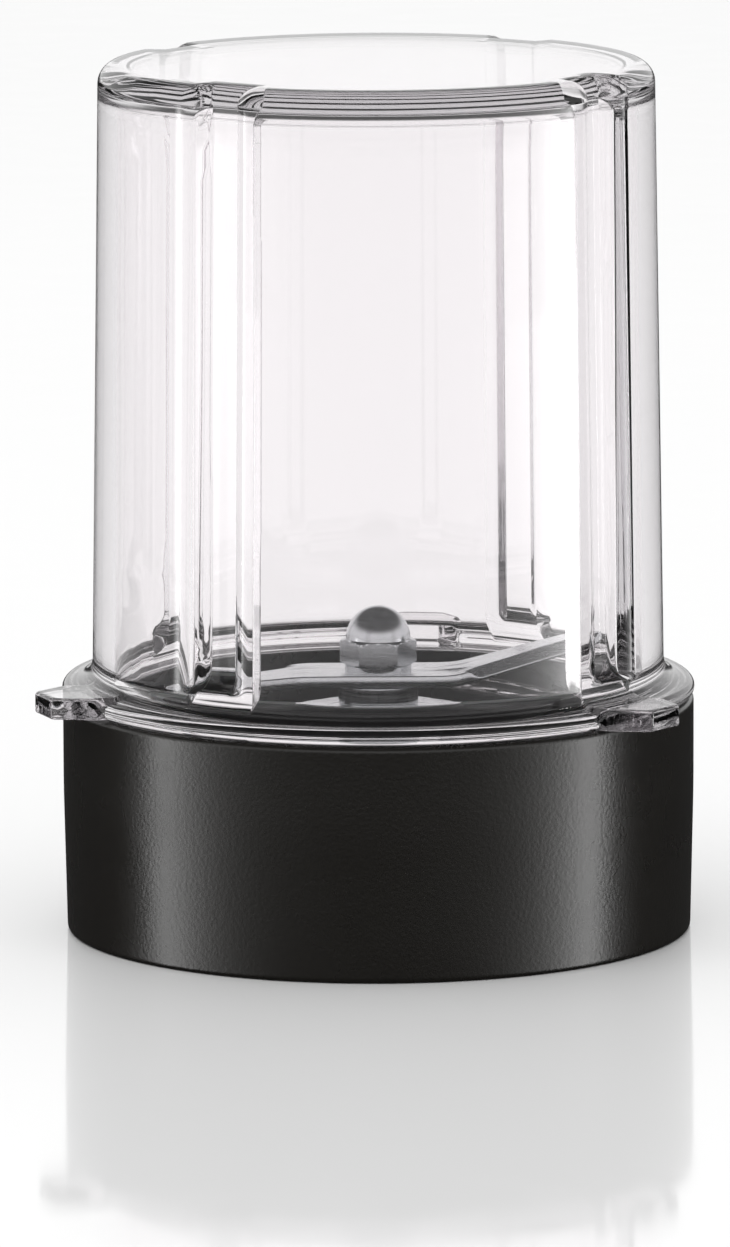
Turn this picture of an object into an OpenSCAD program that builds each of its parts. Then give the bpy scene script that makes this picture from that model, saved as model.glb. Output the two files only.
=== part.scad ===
// Grinding cup of a personal blender: a clear fluted cup, mouth down, screwed into a black
// blade base. Millimetres, +Z up. The origin is the centre of the base's foot, and the front
// of the cup faces -Y.

/* [Blade base] */
// Outer radius of the collar at its top edge
collar_top_r = 41; // [40:0.5:46]
// How much smaller the collar is at its foot
collar_draft = 0.4; // [0.2:0.1:0.8]
// Height of the straight land at the collar's top, which fits the motor unit's well
land_h = 12; // [8:0.5:16]
// Height of the collar
collar_h = 30.5; // [29.5:0.5:34]
// Thickness of the threaded wall
collar_wall = 2.6; // [2.2:0.1:3]
// Depth of the socket in the foot that goes over the motor unit
socket_depth = 6; // [5:0.5:7]
// Thickness of the wall round that socket
socket_wall = 2.4; // [2:0.1:2.8]
// Rounding of the collar's top and foot edges
collar_edge = 0.6; // [0.3:0.1:0.8]
// Thickness of the ledge that carries the blade deck
ledge_t = 2.5; // [2:0.1:3]
// How far the ledge reaches in from the threaded wall
ledge_w = 6.4; // [6:0.1:8]
// Thickness of the cover that closes the underside
cover_t = 2.5; // [2.2:0.1:3]
// Radius of the opening round the drive coupling
cover_hole_r = 14.5; // [14:0.5:17]

/* [Cup] */
// Height of the closed end above the collar
cup_h = 82.5; // [60:0.5:110]
// Outer radius at the closed end
cup_top_r = 35.9; // [33:0.1:36.5]
// Outer radius just above the flange
cup_foot_r = 37.1; // [36.8:0.1:37.6]
// Wall thickness at the closed end
cup_wall = 2.4; // [1.8:0.1:2.8]
// Wall thickness at the foot
cup_foot_wall = 2.8; // [2.2:0.1:3.2]
// Thickness of the closed end
cup_top_wall = 3.1; // [2:0.1:5]
// Rounding round the closed end
cup_edge = 2.6; // [1.5:0.1:3]
// Rounding inside, under the closed end
cup_inner_edge = 0.6; // [0.6:0.1:3]
// Thickness of the flange at its rim
flange_t = 2.1; // [1.8:0.1:2.4]
// Height over which the flange runs up into the wall
flange_flare = 2.8; // [2:0.1:4]
// How far the neck reaches down into the collar
neck_h = 9.4; // [9:0.1:11]
// Thickness of the neck's wall
neck_wall = 2.2; // [1.8:0.1:2.6]
// Number of flutes down the wall
flute_count = 4; // [3:1:5]
// Direction of the first flute, in degrees from +X
flute_angle = 55; // [0:5:85]
// Depth of a flute
flute_depth = 2.8; // [2:0.1:4]
// Width of a flute over its rounded shoulders
flute_w = 11.8; // [10:0.1:14]
// Rounding of a flute's shoulders
flute_round = 3.4; // [3:0.1:4.5]

/* [Locking tabs] */
// Number of tabs that lock the cup into the motor unit
tab_count = 3; // [2:1:4]
// Direction of the first tab, in degrees from +X
tab_angle = 82; // [0:0.5:119]
// Reach of a tab beyond the flange
tab_reach = 5.4; // [3:0.1:6]
// Width of a tab's outer end
tab_w = 5.9; // [4:0.1:9]
// How much wider a tab is at its root, on each side
tab_ramp = 4.2; // [2:0.1:5]
// Thickness of a tab
tab_t = 2.8; // [2.5:0.1:3.2]

/* [Thread] */
// Number of thread starts
thread_starts = 3; // [2:1:4]
// Rise in one full turn
thread_lead = 15; // [13.5:0.5:16]
// Radial height of a thread ridge
ridge_h = 1.4; // [1:0.1:1.6]
// Width of a ridge at its root
ridge_w = 2; // [1.6:0.1:2.2]
// Length of each ridge on the cup, in degrees
cup_ridge_span = 80; // [50:5:85]
// Length of each ridge in the collar, in degrees
collar_ridge_span = 60; // [40:5:65]
// Radial clearance between neck and collar
thread_gap = 0.4; // [0.3:0.05:0.5]
// Clearance between the flanks of meeting ridges
flank_gap = 0.3; // [0.2:0.05:0.4]

/* [Deck and bearing] */
// Thickness of the deck's rim
deck_t = 3; // [2.6:0.1:3.4]
// Height of the hub's top above the deck's rim
hub_rise = 8; // [7:0.1:9]
// Radius of the hub
hub_r = 11; // [10.5:0.1:12]
// Thickness of the hub's top
hub_t = 5; // [4:0.1:5.5]
// Thickness of the cup gasket
gasket_t = 2; // [1.5:0.1:2.4]
// Outer radius of the bearing sleeve
sleeve_r = 8; // [7.6:0.1:8.4]
// Thickness of the sleeve's flange
sleeve_flange_t = 1.5; // [1:0.1:2]
// Length of the sleeve under its flange
sleeve_len = 11.5; // [10.5:0.1:12]
// Radius of the bushes' outside
bush_r = 5; // [4.4:0.1:5.4]
// Length of one bush
bush_len = 4.2; // [3.5:0.1:4.4]
// Radius of the lip seal's outside
seal_r = 6.6; // [6:0.1:6.8]
// Height of the lip seal
seal_t = 2.6; // [2:0.1:2.8]
// Thickness of the cap that holds the lip seal down
seal_cap_t = 0.6; // [0.4:0.1:0.8]
// Size of the sleeve nut across its corners
sleeve_nut_d = 25; // [22:0.5:27]
// Thickness of the sleeve nut
sleeve_nut_t = 3.2; // [2.5:0.1:3.5]
// Thickness of the sleeve nut's washer
sleeve_washer_t = 0.8; // [0.5:0.1:1]
// Thickness of the O-ring under the sleeve's flange
o_ring_d = 1.5; // [1:0.1:1.6]

/* [Rotor] */
// Radius of the blade shaft
shaft_r = 3; // [2.6:0.1:3.4]
// Radius of the shaft's threaded top
shaft_top_r = 2.4; // [2:0.1:2.5]
// Radius that the blade sweeps
blade_r = 28; // [24:0.5:29]
// Thickness of the blade
blade_t = 1.6; // [1.2:0.1:2]
// Width of a wing at its root
blade_root_w = 11; // [9:0.5:12]
// Width of a wing at its tip
blade_tip_w = 7; // [5:0.5:9]
// Distance from the axis at which a wing is bent
blade_bend_r = 10; // [8:0.5:14]
// Bend of the raised wing, in degrees
blade_bend_up = 16; // [5:1:20]
// Bend of the lowered wing, in degrees
blade_bend_down = 7; // [2:1:8]
// Height of the spacer under the blade
spacer_h = 3.2; // [3:0.1:5]
// Radius of the spacer under the blade
spacer_r = 5.2; // [4.4:0.1:6]
// Thickness of the lock washer
lock_washer_t = 0.8; // [0.5:0.1:1]
// Size of the blade nut across its corners
blade_nut_d = 10; // [8:0.1:11]
// Height of the blade nut's hexagon
blade_nut_t = 3.4; // [3:0.1:4.5]
// Radius of the coupling's teeth
coupling_r = 11.5; // [10.5:0.1:12]
// Number of coupling teeth
coupling_teeth = 8; // [6:1:10]
// Width of a coupling tooth
coupling_tooth_w = 3.2; // [2.4:0.1:4]
// Radius of the coupling's hub
coupling_hub_r = 7.4; // [6.6:0.1:8]
// Thickness of the coupling's top disc
coupling_disc_t = 1.6; // [1.2:0.1:2]
// Radius of the pilot bore that centres on the motor spindle
pilot_r = 4; // [3.5:0.1:4.5]
// Depth of the pilot bore
pilot_depth = 3; // [2.5:0.1:3.4]
// Radius of the threaded insert in the coupling
insert_r = 5; // [4.6:0.1:5.4]
// Thickness of the thrust washer
thrust_t = 0.7; // [0.5:0.1:0.9]
// Radius of the thrust washer
thrust_r = 6.5; // [5.5:0.1:7]
// Thickness of the retaining clip
clip_t = 0.6; // [0.5:0.1:0.8]
// Outer radius of the retaining clip
clip_r = 5; // [4.6:0.1:5.6]
// Depth of the clip's groove in the shaft
clip_groove = 0.5; // [0.3:0.1:0.7]

/* [Screws and clearances] */
// Number of screws in each set
screw_count = 4; // [3:1:6]
// Radius of a screw's shank
screw_r = 1.1; // [0.9:0.05:1.25]
// Radius of a screw's head
screw_head_r = 2.2; // [1.9:0.1:2.4]
// Height of a screw's head
screw_head_t = 1.3; // [1:0.1:1.6]
// Radius of a screw boss
boss_r = 3; // [2.8:0.1:3.2]
// Clearance round pieces that are fitted together
fit_gap = 0.05; // [0.03:0.01:0.1]
// Clearance round pieces that turn in a bush
run_gap = 0.04; // [0.02:0.01:0.08]
// Gap between faces that meet but move apart
seat_gap = 0.12; // [0.08:0.01:0.2]
// Gap between the rotor and what stands still
rotor_gap = 0.3; // [0.2:0.05:0.4]

/* [Hidden] */
$fn = 96;

// Thread: the collar's bore, the neck that turns in it, and how deep ridges sink into their wall
bore_r = collar_top_r - collar_wall;
cup_ridge_r = bore_r - thread_gap;
neck_r = cup_ridge_r - ridge_h;
collar_ridge_r = neck_r + thread_gap;
neck_in_r = neck_r - neck_wall;
foot_in_r = cup_foot_r - cup_foot_wall;
ridge_sink = 0.5;
ridge_crest_share = 0.45;
ridge_step = 8;
thread_pitch = thread_lead / thread_starts;
ridge_offset = ridge_w + flank_gap;

// Heights of the cup, and of the seat under its neck
flange_z = collar_h + seat_gap;
neck_z = flange_z - neck_h;
seat_z = neck_z - seat_gap - gasket_t;
cup_top_z = flange_z + cup_h;
flange_r = collar_top_r + seat_gap;
wall_z = flange_z + flange_t + flange_flare;
cup_ridge_z = neck_z + ridge_w;
cup_slope = atan((cup_foot_r - cup_top_r) / (cup_top_z - wall_z));

// Overshoot of a cutting shape, and material left at the end of a blind hole
cut = 1;
blind_skin = 1;

// Steps in the collar's inside: from the socket to the cover's seat, and from there to its stop
cover_step = 0.7;
cover_stop = 1;

// Heights of the deck, its ledge and the underside cover
deck_z = seat_z - deck_t;
ledge_z = deck_z - ledge_t;
ledge_r = bore_r - ledge_w;
deck_r = collar_ridge_r - seat_gap;
hub_z = seat_z + hub_rise;
hub_under_z = hub_z - hub_t;
o_ring_r = (sleeve_r + hub_r) / 2;
cover_z = socket_depth + seat_gap;
cover_top_z = cover_z + cover_t;
socket_r = collar_top_r - collar_draft - socket_wall;
cover_r = socket_r - cover_step;
cover_stop_r = cover_r - cover_stop;
deck_screw_r = cover_stop_r - screw_head_r - seat_gap;
boss_pos_r = ledge_r + boss_r * 2 / 3;
spigot_z = ledge_z + seat_gap;

// Heights up the shaft
sleeve_top_z = hub_z + sleeve_flange_t;
sleeve_z = hub_z - sleeve_len;
seal_top_z = sleeve_top_z - seal_cap_t - fit_gap;
seal_z = seal_top_z - seal_t;
counterbore_z = seal_z - fit_gap;
lower_bush_z = sleeve_z + fit_gap;
upper_bush_z = counterbore_z - bush_len;
spacer_z = sleeve_top_z + rotor_gap;
blade_z = spacer_z + spacer_h;
lock_washer_z = blade_z + blade_t;
blade_nut_z = lock_washer_z + lock_washer_t;
dome_share = 0.84;
dome_r = dome_share * blade_nut_d / 2;
thrust_z = sleeve_z - rotor_gap - thrust_t;
clip_z = thrust_z - clip_t;
coupling_top_z = clip_z - fit_gap;
coupling_z = cover_z + rotor_gap;
insert_z = coupling_z + pilot_depth + fit_gap;
shaft_z = insert_z + fit_gap;
shaft_top_z = blade_nut_z + blade_nut_t;

// Ring of copies about the axis
module ring_of(count, radius, first = 0) {
    for (i = [0 : count - 1]) rotate(first + i * 360 / count) translate([radius, 0, 0]) children();
}

// Tube between two radii
module tube(r_out, r_in, h) {
    difference() {
        cylinder(r = r_out, h = h);
        translate([0, 0, -cut]) cylinder(r = r_in, h = h + 2 * cut);
    }
}

// Points along an arc, from one direction to another
function arc(centre, r, from, to, steps = 8) =
    [for (i = [0 : steps]) let (a = from + (to - from) * i / steps) centre + r * [cos(a), sin(a)]];

// Four corners of a thread ridge at one direction, from its foot up
function ridge_ring(a, z, root_r, crest_r, half) = [
    for (p = [[root_r, -half], [crest_r, -half * ridge_crest_share], [crest_r, half * ridge_crest_share],
              [root_r, half]]) [p[0] * cos(a), p[0] * sin(a), z + p[1]]
];

// One ridge that climbs by the thread's lead; crest_r beyond root_r faces out, within it faces in
module thread_ridge(root_r, crest_r, z, from, span) {
    steps = ceil(span / ridge_step);
    rings = [for (i = [0 : steps]) let (turn = span * i / steps)
        ridge_ring(from + turn, z + thread_lead * turn / 360, root_r, crest_r, ridge_w / 2)];
    points = [for (ring = rings) each ring];
    last = 4 * steps;
    sides = [for (i = [0 : steps - 1], k = [0 : 3])
        let (a = 4 * i + k, b = 4 * i + (k + 1) % 4) each [[a, b, b + 4], [a, b + 4, a + 4]]];
    ends = [[0, 2, 1], [0, 3, 2], [last, last + 1, last + 2], [last, last + 2, last + 3]];
    faces = concat(sides, ends);
    outward = crest_r > root_r;
    polyhedron(points, outward ? faces : [for (f = faces) [f[2], f[1], f[0]]]);
}

module thread(root_r, crest_r, z, from, span) {
    for (i = [0 : thread_starts - 1])
        thread_ridge(root_r, crest_r, z, from + i * 360 / thread_starts, span);
}

// Section of a flute, grown by a margin: a flat bottom and two round shoulders, open beyond the wall
module flute_section(margin) {
    bottom = -flute_depth - margin;
    shoulder = flute_round - margin;
    centre = [-flute_round, flute_w / 2];
    reach = acos(max(0, (bottom + flute_round) / shoulder));
    beyond = 6;
    foot = bottom < -flute_round ? [[bottom, centre[1] - shoulder]] : [];
    side = concat([[beyond, centre[1]]], arc(centre, shoulder, 0, -reach), foot);
    polygon(concat(side, [for (i = [len(side) - 1 : -1 : 0]) [side[i][0], -side[i][1]]]));
}

// Flutes that follow the wall's slope, from a height up past the closed end
module flutes(margin, from_z, to_z) {
    ring_of(flute_count, cup_foot_r, flute_angle)
        translate([0, 0, wall_z]) rotate([0, -cup_slope, 0]) translate([0, 0, from_z - wall_z])
            linear_extrude(to_z - from_z) flute_section(margin);
}

// Outside of the cup without flutes: closed end, wall, flange and neck
module cup_outside() {
    rim = flange_t / 2;
    rotate_extrude() polygon(concat(
        [[0, neck_z], [neck_r, neck_z], [neck_r, flange_z]],
        arc([flange_r - rim, flange_z + rim], rim, -90, 90, 10),
        arc([cup_foot_r + flange_flare, wall_z], flange_flare, 270, 180),
        arc([cup_top_r - cup_edge, cup_top_z - cup_edge], cup_edge, 0, 90),
        [[0, cup_top_z]]
    ));
}

// Hollow of the cup, drafted towards its mouth
module cup_hollow() {
    roof_z = cup_top_z - cup_top_wall;
    rotate_extrude() polygon(concat(
        [[0, neck_z - cut], [neck_in_r, neck_z - cut], [neck_in_r, flange_z], [foot_in_r, wall_z]],
        arc([cup_top_r - cup_wall - cup_inner_edge, roof_z - cup_inner_edge], cup_inner_edge, 0, 90, 4),
        [[0, roof_z]]
    ));
}

// One locking tab, which widens from its tip to its root in the flange
module locking_tab() {
    root = flange_r - flange_t;
    tip = flange_r + tab_reach;
    half = tab_w / 2;
    translate([0, 0, flange_z]) linear_extrude(tab_t)
        polygon([[root, half + tab_ramp], [root, -half - tab_ramp], [tip, -half], [tip, half]]);
}

module cup() {
    color([0.92, 0.93, 0.94, 0.35]) {
        difference() {
            union() {
                difference() {
                    cup_outside();
                    flutes(0, wall_z, cup_top_z + 2 * cut);
                }
                ring_of(tab_count, 0, tab_angle) locking_tab();
            }
            difference() {
                cup_hollow();
                flutes(cup_wall, wall_z - cup_wall, cup_top_z + 2 * cut);
            }
        }
        thread(neck_r - ridge_sink, cup_ridge_r, cup_ridge_z, 0, cup_ridge_span);
    }
}

// Soft ring in the cup's mouth: a flat seat with a lip up inside the neck
module cup_gasket() {
    lip_r = neck_in_r - seat_gap;
    lip_t = 1;
    lip_h = 2;
    color([0.82, 0.82, 0.80]) rotate_extrude() polygon([
        [lip_r - lip_t, seat_z], [neck_r - thread_gap, seat_z], [neck_r - thread_gap, seat_z + gasket_t],
        [lip_r, seat_z + gasket_t], [lip_r, seat_z + gasket_t + lip_h],
        [lip_r - lip_t, seat_z + gasket_t + lip_h]
    ]);
}

// Outside and inside of the collar: socket, cover seat, ledge and threaded bore
module collar_shell() {
    foot_r = collar_top_r - collar_draft;
    rotate_extrude() polygon(concat(
        [[socket_r, 0]],
        arc([foot_r - collar_edge, collar_edge], collar_edge, -90, 0, 4),
        [[collar_top_r, collar_h - land_h]],
        arc([collar_top_r - collar_edge, collar_h - collar_edge], collar_edge, 0, 90, 4),
        [[bore_r, collar_h], [bore_r, deck_z], [ledge_r, deck_z], [ledge_r, ledge_z],
         [cover_stop_r, ledge_z], [cover_stop_r, cover_top_z], [cover_r + fit_gap, cover_top_z],
         [cover_r + fit_gap, socket_depth], [socket_r, socket_depth]]
    ));
}

module base_collar() {
    pilot_top_z = deck_z - blind_skin;
    color([0.05, 0.05, 0.05]) {
        difference() {
            union() {
                collar_shell();
                ring_of(screw_count, boss_pos_r) translate([0, 0, cover_top_z])
                    cylinder(r = boss_r, h = ledge_z + fit_gap - cover_top_z);
            }
            ring_of(screw_count, boss_pos_r) translate([0, 0, cover_top_z - cut])
                cylinder(r = screw_r + fit_gap, h = pilot_top_z - cover_top_z + cut);
            ring_of(screw_count, deck_screw_r, 180 / screw_count) translate([0, 0, ledge_z - cut])
                cylinder(r = screw_r + fit_gap, h = ledge_t + 2 * cut);
        }
        thread(bore_r + ridge_sink, collar_ridge_r, cup_ridge_z + ridge_offset
               + thread_lead * (cup_ridge_span - collar_ridge_span) / 720,
               (cup_ridge_span - collar_ridge_span) / 2, collar_ridge_span);
    }
}

// Floor of the grinding chamber: a flat rim for the gasket, a cone and a hub for the bearing
module blade_deck() {
    spigot_r = ledge_r - fit_gap;
    groove_w = o_ring_d + 2 * fit_gap;
    color([0.07, 0.07, 0.07]) difference() {
        rotate_extrude() polygon([
            [sleeve_r + fit_gap, hub_under_z], [sleeve_r + fit_gap, hub_z], [hub_r, hub_z],
            [hub_r + 2, hub_z - hub_rise / 3], [ledge_r - 1, seat_z], [deck_r, seat_z],
            [deck_r, deck_z], [spigot_r, deck_z], [spigot_r, spigot_z], [spigot_r - deck_t, spigot_z],
            [spigot_r - deck_t, deck_z], [sleeve_nut_d / 2 + 2, hub_under_z]
        ]);
        translate([0, 0, hub_z - o_ring_d - fit_gap])
            tube(o_ring_r + groove_w / 2, o_ring_r - groove_w / 2, o_ring_d + cut);
        ring_of(screw_count, deck_screw_r, 180 / screw_count) translate([0, 0, deck_z - cut])
            cylinder(r = screw_r + fit_gap, h = cut + deck_t - blind_skin);
    }
}

// Pan-head screw, pointing up, its head's seat at the origin
module screw(length) {
    translate([0, 0, -screw_head_t]) cylinder(r = screw_head_r, h = screw_head_t);
    translate([0, 0, -screw_head_t / 2]) cylinder(r = screw_r, h = length + screw_head_t / 2);
}

module deck_screws() {
    color("silver") ring_of(screw_count, deck_screw_r, 180 / screw_count)
        translate([0, 0, ledge_z]) screw(ledge_t + deck_t - blind_skin - seat_gap);
}

module bottom_cover() {
    guide_w = 1.6;
    guide_h = (ledge_z - cover_top_z) * 2 / 3;
    color([0.09, 0.09, 0.09]) difference() {
        union() {
            translate([0, 0, cover_z]) cylinder(r = cover_r, h = cover_t);
            translate([0, 0, cover_z]) cylinder(r = cover_hole_r + guide_w, h = cover_t + guide_h);
        }
        translate([0, 0, cover_z - cut]) {
            cylinder(r = cover_hole_r, h = cover_t + guide_h + 2 * cut);
            ring_of(screw_count, boss_pos_r) {
                cylinder(r = screw_r + fit_gap, h = cover_t + 2 * cut);
                cylinder(r = screw_head_r + fit_gap, h = cut + screw_head_t + fit_gap);
            }
        }
    }
}

module cover_screws() {
    color("silver") ring_of(screw_count, boss_pos_r)
        translate([0, 0, cover_z + screw_head_t + fit_gap])
            screw(cover_t - screw_head_t + ledge_z - cover_top_z);
}

// Metal housing of the shaft's bearing, clamped through the hub
module bearing_sleeve() {
    color([0.75, 0.76, 0.78]) rotate_extrude() polygon([
        [bush_r + fit_gap, sleeve_z], [sleeve_r, sleeve_z], [sleeve_r, hub_z], [hub_r, hub_z],
        [hub_r, sleeve_top_z], [seal_r + fit_gap, sleeve_top_z], [seal_r + fit_gap, counterbore_z],
        [bush_r + fit_gap, counterbore_z]
    ]);
}

// Soft ring in the groove of the hub, under the sleeve's flange
module sleeve_o_ring() {
    color([0.12, 0.12, 0.12]) translate([0, 0, hub_z - o_ring_d / 2])
        rotate_extrude() translate([o_ring_r, 0]) circle(d = o_ring_d);
}

module sleeve_washer() {
    color("silver") translate([0, 0, hub_under_z - sleeve_washer_t])
        tube(sleeve_nut_d / 2, sleeve_r + fit_gap, sleeve_washer_t);
}

module sleeve_nut() {
    color("silver") translate([0, 0, hub_under_z - sleeve_washer_t - sleeve_nut_t]) difference() {
        cylinder(d = sleeve_nut_d, h = sleeve_nut_t, $fn = 6);
        translate([0, 0, -cut]) cylinder(r = sleeve_r + fit_gap, h = sleeve_nut_t + 2 * cut);
    }
}

module upper_bush() {
    color([0.72, 0.52, 0.30]) translate([0, 0, upper_bush_z]) tube(bush_r, shaft_r + run_gap, bush_len);
}

module lower_bush() {
    color([0.72, 0.52, 0.30]) translate([0, 0, lower_bush_z]) tube(bush_r, shaft_r + run_gap, bush_len);
}

// Rubber seal with one lip that runs on the shaft
module lip_seal() {
    rim_t = 1;
    lip_t = 0.8;
    web_t = 1.2;
    taper = 0.4;
    color([0.15, 0.15, 0.15]) translate([0, 0, seal_z]) rotate_extrude() polygon([
        [shaft_r + run_gap, 0], [seal_r, 0], [seal_r, seal_t], [seal_r - rim_t, seal_t],
        [seal_r - rim_t - taper, web_t], [shaft_r + lip_t + taper, web_t], [shaft_r + lip_t, seal_t],
        [shaft_r + run_gap, seal_t]
    ]);
}

module seal_cap() {
    color("silver") translate([0, 0, seal_top_z]) tube(seal_r, shaft_r + rotor_gap, seal_cap_t);
}

module blade_shaft() {
    chamfer = 0.5;
    color([0.80, 0.81, 0.82]) rotate_extrude() polygon([
        [0, shaft_z], [shaft_r, shaft_z], [shaft_r, clip_z], [shaft_r - clip_groove, clip_z],
        [shaft_r - clip_groove, thrust_z], [shaft_r, thrust_z], [shaft_r, blade_z],
        [shaft_top_r, blade_z], [shaft_top_r, shaft_top_z - chamfer],
        [shaft_top_r - chamfer, shaft_top_z],
        [0, shaft_top_z]
    ]);
}

module blade_spacer() {
    color("silver") translate([0, 0, spacer_z]) tube(spacer_r, shaft_r + fit_gap, spacer_h);
}

// Side view of the blade: a flat middle and two bent wings, as a band round its middle line
module blade_side() {
    up = (blade_r - blade_bend_r) * tan(blade_bend_up);
    down = (blade_r - blade_bend_r) * tan(blade_bend_down);
    line = [[-blade_r, -down], [-blade_bend_r, 0], [blade_bend_r, 0], [blade_r, up]];
    over = [for (i = [3 : -1 : 0]) line[i] + [0, blade_t]];
    polygon(concat(line, over));
}

// Plan of the blade: each wing narrows to a slanted tip
module blade_plan() {
    root = blade_root_w / 2;
    tip = blade_tip_w / 2;
    half = [[blade_bend_r, -root], [blade_r - tip / 2, -tip], [blade_r, 0], [blade_r - tip, tip],
            [blade_bend_r, root]];
    polygon(concat(half, -half));
}

// Wedge that grinds the leading edge of the wing along +X, bent up by an angle
module edge_grind(bend) {
    length = blade_r - blade_bend_r;
    narrowing = (blade_root_w - blade_tip_w) / 2;
    ground_w = blade_root_w / 5;
    edge_t = blade_t / 3;
    translate([blade_bend_r, 0, 0]) rotate([0, -bend, 0]) translate([length / 6, -blade_root_w / 2, edge_t])
        rotate(atan(narrowing / length)) rotate([atan((blade_t - edge_t) / ground_w), 0, 0])
            translate([0, -blade_root_w, 0]) cube([blade_r, 2 * blade_root_w, 4 * blade_t]);
}

module blade() {
    color([0.85, 0.86, 0.87]) translate([0, 0, blade_z]) difference() {
        intersection() {
            rotate([90, 0, 0]) linear_extrude(2 * blade_root_w, center = true) blade_side();
            translate([0, 0, -blade_r]) linear_extrude(2 * blade_r) blade_plan();
        }
        edge_grind(blade_bend_up);
        rotate(180) edge_grind(-blade_bend_down);
        translate([0, 0, -cut]) cylinder(r = shaft_top_r + fit_gap, h = blade_t + 2 * cut);
    }
}

// Split spring washer under the nut
module lock_washer() {
    split = lock_washer_t;
    color("silver") translate([0, 0, lock_washer_z]) difference() {
        tube(blade_nut_d * cos(30) / 2, shaft_top_r + fit_gap, lock_washer_t);
        translate([0, -split / 2, -cut]) cube([blade_nut_d, split, lock_washer_t + 2 * cut]);
    }
}

// Domed nut that covers the shaft's end
module blade_nut() {
    color([0.85, 0.86, 0.87]) translate([0, 0, blade_nut_z]) difference() {
        union() {
            cylinder(d = blade_nut_d, h = blade_nut_t, $fn = 6);
            translate([0, 0, blade_nut_t]) intersection() {
                sphere(r = dome_r);
                cylinder(r = dome_r, h = dome_r);
            }
        }
        translate([0, 0, -cut]) cylinder(r = shaft_top_r + fit_gap, h = cut + blade_nut_t + fit_gap);
    }
}

module thrust_washer() {
    color([0.90, 0.89, 0.85]) translate([0, 0, thrust_z + fit_gap])
        tube(thrust_r, shaft_r + fit_gap, thrust_t - fit_gap);
}

// Clip pushed sideways into the shaft's groove
module retaining_clip() {
    slot_w = 2 * (shaft_r - clip_groove);
    color([0.35, 0.35, 0.36]) translate([0, 0, clip_z + fit_gap / 2]) difference() {
        tube(clip_r, shaft_r - clip_groove + fit_gap, clip_t - fit_gap);
        translate([0, -slot_w / 2, -cut]) cube([clip_r + cut, slot_w, clip_t + 2 * cut]);
    }
}

// Toothed drive dog on the shaft's lower end
module drive_coupling() {
    height = coupling_top_z - coupling_z;
    color([0.12, 0.12, 0.13]) translate([0, 0, coupling_z]) difference() {
        union() {
            cylinder(r = coupling_hub_r, h = height);
            translate([0, 0, height - coupling_disc_t]) cylinder(r = coupling_r, h = coupling_disc_t);
            intersection() {
                cylinder(r = coupling_r, h = height);
                ring_of(coupling_teeth, coupling_r) translate([0, 0, height / 2])
                    cube([coupling_r, coupling_tooth_w, height + cut], center = true);
            }
        }
        translate([0, 0, -cut]) cylinder(r = pilot_r, h = cut + pilot_depth);
        translate([0, 0, pilot_depth]) cylinder(r = insert_r + fit_gap, h = height);
    }
}

module coupling_insert() {
    color([0.78, 0.62, 0.32]) translate([0, 0, insert_z])
        tube(insert_r, shaft_r + fit_gap, coupling_top_z - insert_z);
}

cup();
cup_gasket();
base_collar();
blade_deck();
deck_screws();
bottom_cover();
cover_screws();
bearing_sleeve();
sleeve_o_ring();
sleeve_washer();
sleeve_nut();
upper_bush();
lower_bush();
lip_seal();
seal_cap();
blade_shaft();
blade_spacer();
blade();
lock_washer();
blade_nut();
thrust_washer();
retaining_clip();
drive_coupling();
coupling_insert();
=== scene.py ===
"""Looks of a grinding cup: a clear fluted cup, mouth down, screwed into a black blade base."""

import math

import bpy
import numpy as np
from bpy.props import FloatProperty, FloatVectorProperty, IntProperty, PointerProperty
from bpy.types import Operator, Panel, PropertyGroup
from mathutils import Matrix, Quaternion, Vector


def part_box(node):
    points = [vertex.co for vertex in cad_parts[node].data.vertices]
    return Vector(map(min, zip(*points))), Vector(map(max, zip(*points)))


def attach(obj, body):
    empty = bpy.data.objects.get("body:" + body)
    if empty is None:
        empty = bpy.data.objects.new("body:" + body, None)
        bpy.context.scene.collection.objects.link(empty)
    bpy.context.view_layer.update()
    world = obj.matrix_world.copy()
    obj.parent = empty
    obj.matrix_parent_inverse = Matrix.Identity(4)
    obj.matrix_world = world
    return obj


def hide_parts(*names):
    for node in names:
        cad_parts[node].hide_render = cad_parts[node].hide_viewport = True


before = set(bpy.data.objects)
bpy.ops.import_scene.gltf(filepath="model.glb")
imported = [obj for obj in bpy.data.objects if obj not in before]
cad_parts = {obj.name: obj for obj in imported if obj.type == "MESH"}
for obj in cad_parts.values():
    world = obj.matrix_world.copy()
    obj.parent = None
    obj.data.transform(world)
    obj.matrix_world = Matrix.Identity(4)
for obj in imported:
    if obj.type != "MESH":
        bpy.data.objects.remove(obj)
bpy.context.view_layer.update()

bl_info = {
    "name": "Grinding cup",
    "version": (1, 0, 0),
    "blender": (4, 5, 0),
    "location": "View3D > Sidebar > Grinding cup",
    "description": "Builds the visible surfaces, the finishes and the studio of a grinding cup",
    "category": "Object",
}

MM = 0.001
FULL_TURN = 2 * math.pi
QUARTER_TURN = math.pi / 2

# Fineness: points round the axis or along the edge, and rows along the threaded walls
CUP_COLUMNS = 480
NECK_ROWS = 36
COLLAR_COLUMNS = 240
BORE_ROWS = 48
RING_COLUMNS = 192
SPACER_COLUMNS = 96
BLADE_COLUMNS = 360
NUT_COLUMNS = 144
SOFTBOX_COLUMNS = 97


# Properties: the sizes and colours that a user would change

def linear(hex_colour):
    """Linear RGB of an sRGB hex value."""
    srgb = np.array([int(hex_colour[i:i + 2], 16) for i in (1, 3, 5)]) / 255
    return np.where(srgb <= 0.04045, srgb / 12.92, ((srgb + 0.055) / 1.055) ** 2.4).tolist()


def length(name, description, millimetres):
    """Length property, written in millimetres and kept in metres."""
    return FloatProperty(name=name, description=description, default=millimetres * MM, unit="LENGTH",
                         precision=5)


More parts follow.
